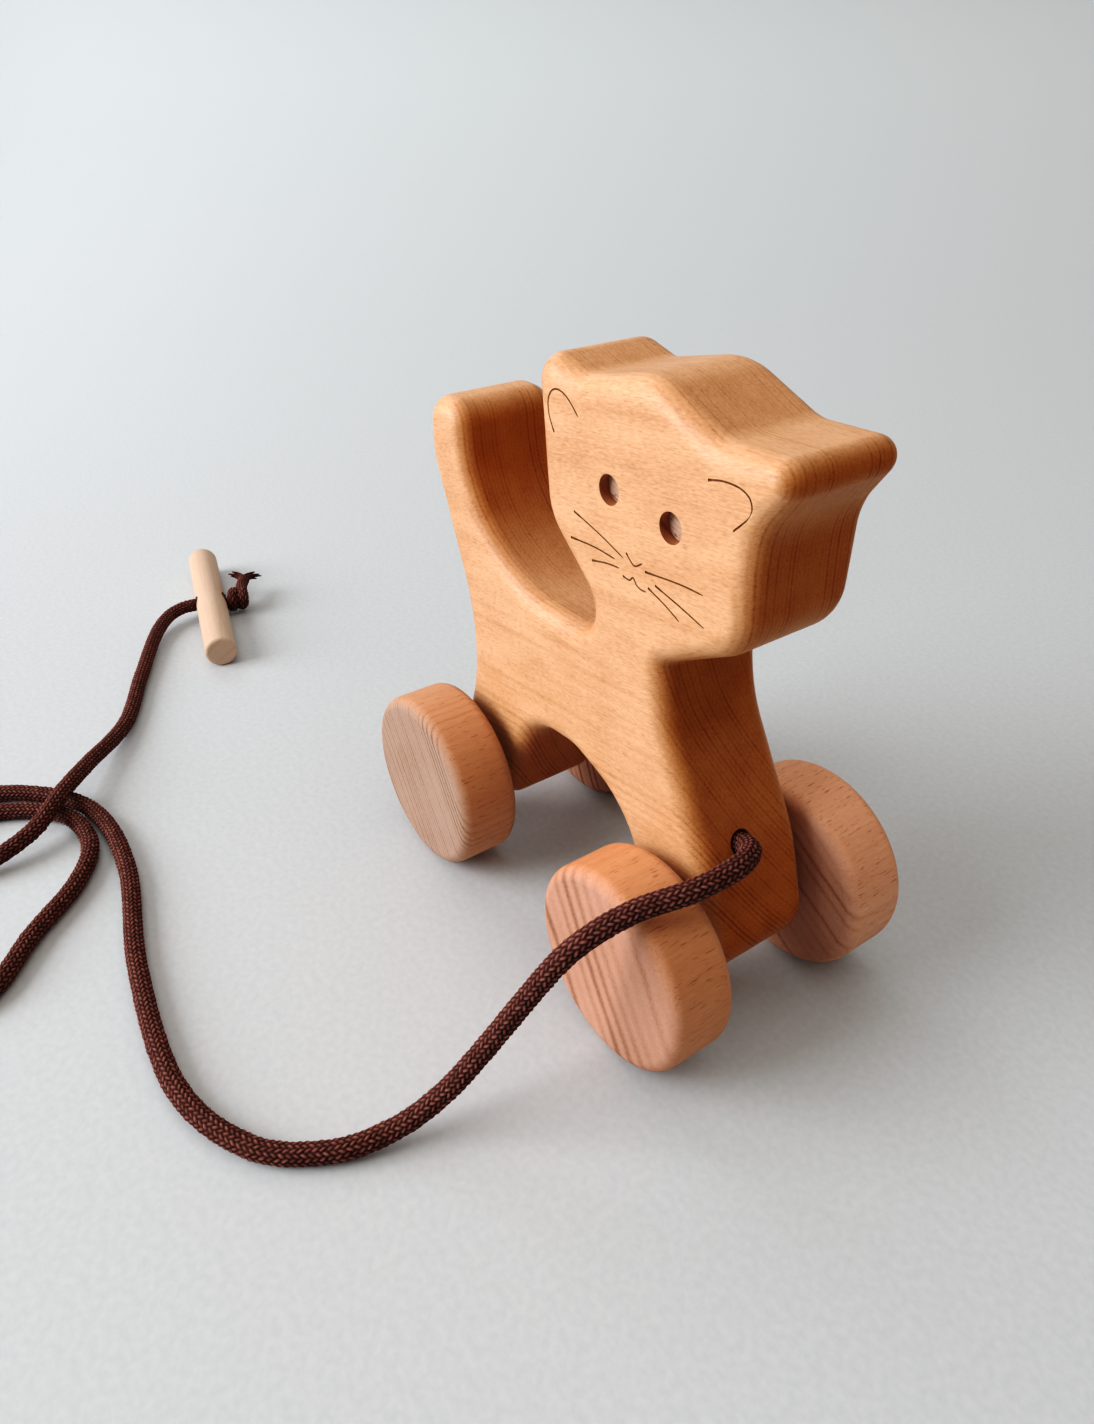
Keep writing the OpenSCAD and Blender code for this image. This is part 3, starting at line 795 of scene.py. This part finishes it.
def wheel_wood(name, stripes, period, offset, contrast=1.05, sharpness=2.2,
               face=(0.90, 1.13, 1.64), tone=(1.0, 1.0, 1.0)):
    """A wheel's wood: stripes across its flat faces, tinted by face, and tone over all of it."""
    dark, mid, light = (tuple(np.multiply(colour, tone)) for colour in WHEEL_TONES)
    return wood_material(
        name, rings=stripes, along=(0, 1, 0), period=period, dark=dark, mid=mid, light=light,
        wander=0.12, contrast=0.5 * contrast, end_contrast=0.9 * contrast, sharpness=sharpness,
        flecks=0.6, fleck_colour=(0.27, 0.085, 0.03), fleck_scale=(380, 2600, 3000),
        end_grain_and_shade=face, roughness=0.6, sheen=0.3, offset=offset,
    )


def wheel(name, x, side, body, material):
    centre = (x * MM, side * WHEEL_INNER_Y * MM, AXLE_Z * MM)
    profile = rounded_profile(WHEEL_WIDTH * MM, WHEEL_D / 2 * MM, RIM_ROUND * MM)
    piece = lathe(name + "_turned", profile, centre, (0, side, 0), material, WHEEL_SIDES)
    keep_flats_flat(piece)
    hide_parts(name)
    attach(piece, body)


def axle(name, x, body):
    profile = [(0, AXLE_D / 2 * MM), (2 * AXLE_HALF * MM, AXLE_D / 2 * MM)]
    start = (x * MM, -AXLE_HALF * MM, AXLE_Z * MM)
    piece = lathe(name + "_dowel", profile, start, (0, 1, 0), AXLE_WOOD, AXLE_SIDES)
    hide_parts(name)
    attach(piece, body)


wheel("front_right_wheel", FRONT_X, -1, "front_wheelset", wheel_wood(
    "front_right_wood", (0.87, 0, 0.49), 3.6 * MM, (0.1, 0.2, 0.3), contrast=1.0, sharpness=1.1,
))
# Front left wheel: tone lightens it as painted light on its tread; face takes that back off its
# flat faces.
wheel("front_left_wheel", FRONT_X, 1, "front_wheelset", wheel_wood(
    "front_left_wood", (0.5, 0, 0.86), 2.6 * MM, (0.5, 0.1, 0.7), contrast=0.6,
    face=(0.73, 0.81, 0.95), tone=(1.24, 1.42, 1.74),
))
wheel("rear_right_wheel", REAR_X, -1, "rear_wheelset", wheel_wood(
    "rear_right_wood", (0.84, 0, 0.54), 1.3 * MM, (0.8, 0.4, 0.2), contrast=0.95,
    face=(0.72, 0.99, 1.41), tone=(0.95, 1.07, 1.18),
))
wheel("rear_left_wheel", REAR_X, 1, "rear_wheelset", wheel_wood(
    "rear_left_wood", (0.9, 0, 0.43), 2.2 * MM, (0.3, 0.9, 0.5),
))
axle("front_axle", FRONT_X, "front_wheelset")
axle("rear_axle", REAR_X, "rear_wheelset")


# Toggle, in millimetres

TOGGLE_D, TOGGLE_LENGTH = 9.5, 70
TOGGLE_END_ROUND, TOGGLE_END_STEPS = 1, 5
TOGGLE_HOLE_D = 5.6
TOGGLE_SIDES, TOGGLE_HOLE_SIDES = 64, 40
SEAT_GAP = 0.3


def toggle():
    """A dowel across the cord, threaded on it just before the knot."""
    forward = toggle_along / np.linalg.norm(toggle_along)
    along = np.array((forward[1], -forward[0], 0))
    middle = cord_end - forward * (TOGGLE_D / 2 + SEAT_GAP) * MM
    middle[2] = TOGGLE_D / 2 * MM
    wood = wood_material(
        "toggle_wood", rings=(along[1] * 0.5, -along[0] * 0.5, 0.86), along=along, period=2.4 * MM,
        dark=(0.39, 0.250, 0.170), mid=(0.510, 0.352, 0.257), light=(0.61, 0.446, 0.346),
        contrast=0.5, flecks=0.2, fleck_colour=(0.45, 0.25, 0.13), roughness=0.6,
    )
    profile = rounded_profile(
        TOGGLE_LENGTH * MM, TOGGLE_D / 2 * MM, TOGGLE_END_ROUND * MM, TOGGLE_END_STEPS,
    )
    start = middle - along * TOGGLE_LENGTH / 2 * MM
    piece = lathe("pull_toggle_dowel", profile, start, along, wood, TOGGLE_SIDES)
    reach = forward * TOGGLE_D * MM
    hole = cylinder(middle - reach, middle + reach, TOGGLE_HOLE_D / 2 * MM, TOGGLE_HOLE_SIDES)
    cut(piece, [hole], wood)
    keep_flats_flat(piece)
    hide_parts("pull_toggle")
    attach(piece, "toy")
    return piece


pull_toggle = toggle()


# Stage and light, in metres

STAGE_EDGE = 60
STAGE_INNER = (0.1, 0.3)
STAGE_FLAT = 0.5
STAGE_BEND = 2.4
STAGE_BENDS = np.radians(np.linspace(3, 75, 25))
STAGE_BACK = math.radians(144.7)
STAGE_SIDES = 96
STAGE_SLANT = 0.5
WALL_OUT, WALL_UP = 0.7, 2.6
# Where the floor's painted light starts, and over how far it reaches full.
PALER_FROM, PALER_OVER = 0.1, 1.2
# Name, place, target, side, spread in degrees, power and colour
LIGHTS = (
    ("window", (-0.56, -1.10, 0.66), (0, 0, 0.04), 1.0, 140, 17.5, (0.985, 0.985, 0.98)),
    ("ceiling", (0.4, 0.2, 2.6), (0, 0, 0), 3.0, 180, 29.0, (1.0, 0.94, 0.86)),
    ("skylight", (-1.8, 0.05, 1.3), (-1.2, 0.25, 0.0), 1.0, 150, 6.0, (0.96, 0.98, 1.0)),
)
ROOM_COLOUR, ROOM_STRENGTH = (1.0, 0.87, 0.72, 1), 0.32


def stage_reach(turn):
    """How much farther the wall stands at a turn from the back: straight there, round elsewhere."""
    return 1 / max(math.cos(math.remainder(turn, 2 * math.pi)), STAGE_SLANT)


def stage():
    """A pale floor that bends up into a wall all round, nearest behind the object."""
    profile = [(distance, 0.0) for distance in (*STAGE_INNER, STAGE_FLAT)]
    for bend in STAGE_BENDS:
        out, up = STAGE_BEND * math.sin(bend), STAGE_BEND * (1 - math.cos(bend))
        profile.append((STAGE_FLAT + out, up))
    profile.append((profile[-1][0] + WALL_OUT, profile[-1][1] + WALL_UP))
    turns = np.linspace(0, 2 * math.pi, STAGE_SIDES, endpoint=False)
    points, faces, far = [(0.0, 0.0, 0.0)], [], [0.0]
    for distance, height in profile:
        for turn in turns:
            reach, angle = distance * stage_reach(turn), STAGE_BACK + turn
            points.append((reach * math.cos(angle), reach * math.sin(angle), height))
            far.append(min(1.0, max(0.0, (distance - PALER_FROM) / PALER_OVER)))
    for side in range(STAGE_SIDES):
        beside = (side + 1) % STAGE_SIDES
        faces.append((0, 1 + side, 1 + beside))
        for ring in range(len(profile) - 1):
            low, high = 1 + ring * STAGE_SIDES, 1 + (ring + 1) * STAGE_SIDES
            faces.append((low + side, high + side, high + beside, low + beside))
    floor = mesh_object("floor", points, faces, floor_material(), STAGE_EDGE)
    point_values(floor, "far", far)


def area_light(name, place, target, side, spread, power, colour):
    data = bpy.data.lights.new(name, "AREA")
    data.shape = "SQUARE"
    data.size = side
    data.spread = math.radians(spread)
    data.energy = power
    data.color = colour
    light = bpy.data.objects.new(name, data)
    light.location = place
    light.rotation_euler = (Vector(target) - Vector(place)).to_track_quat("-Z", "Y").to_euler()
    bpy.context.scene.collection.objects.link(light)


def room_light():
    """A dim warm light from all round."""
    world = bpy.data.worlds.new("room")
    world.use_nodes = True
    background = world.node_tree.nodes["Background"]
    background.inputs["Color"].default_value = ROOM_COLOUR
    background.inputs["Strength"].default_value = ROOM_STRENGTH
    bpy.context.scene.world = world


stage()
for light in LIGHTS:
    area_light(*light)
room_light()
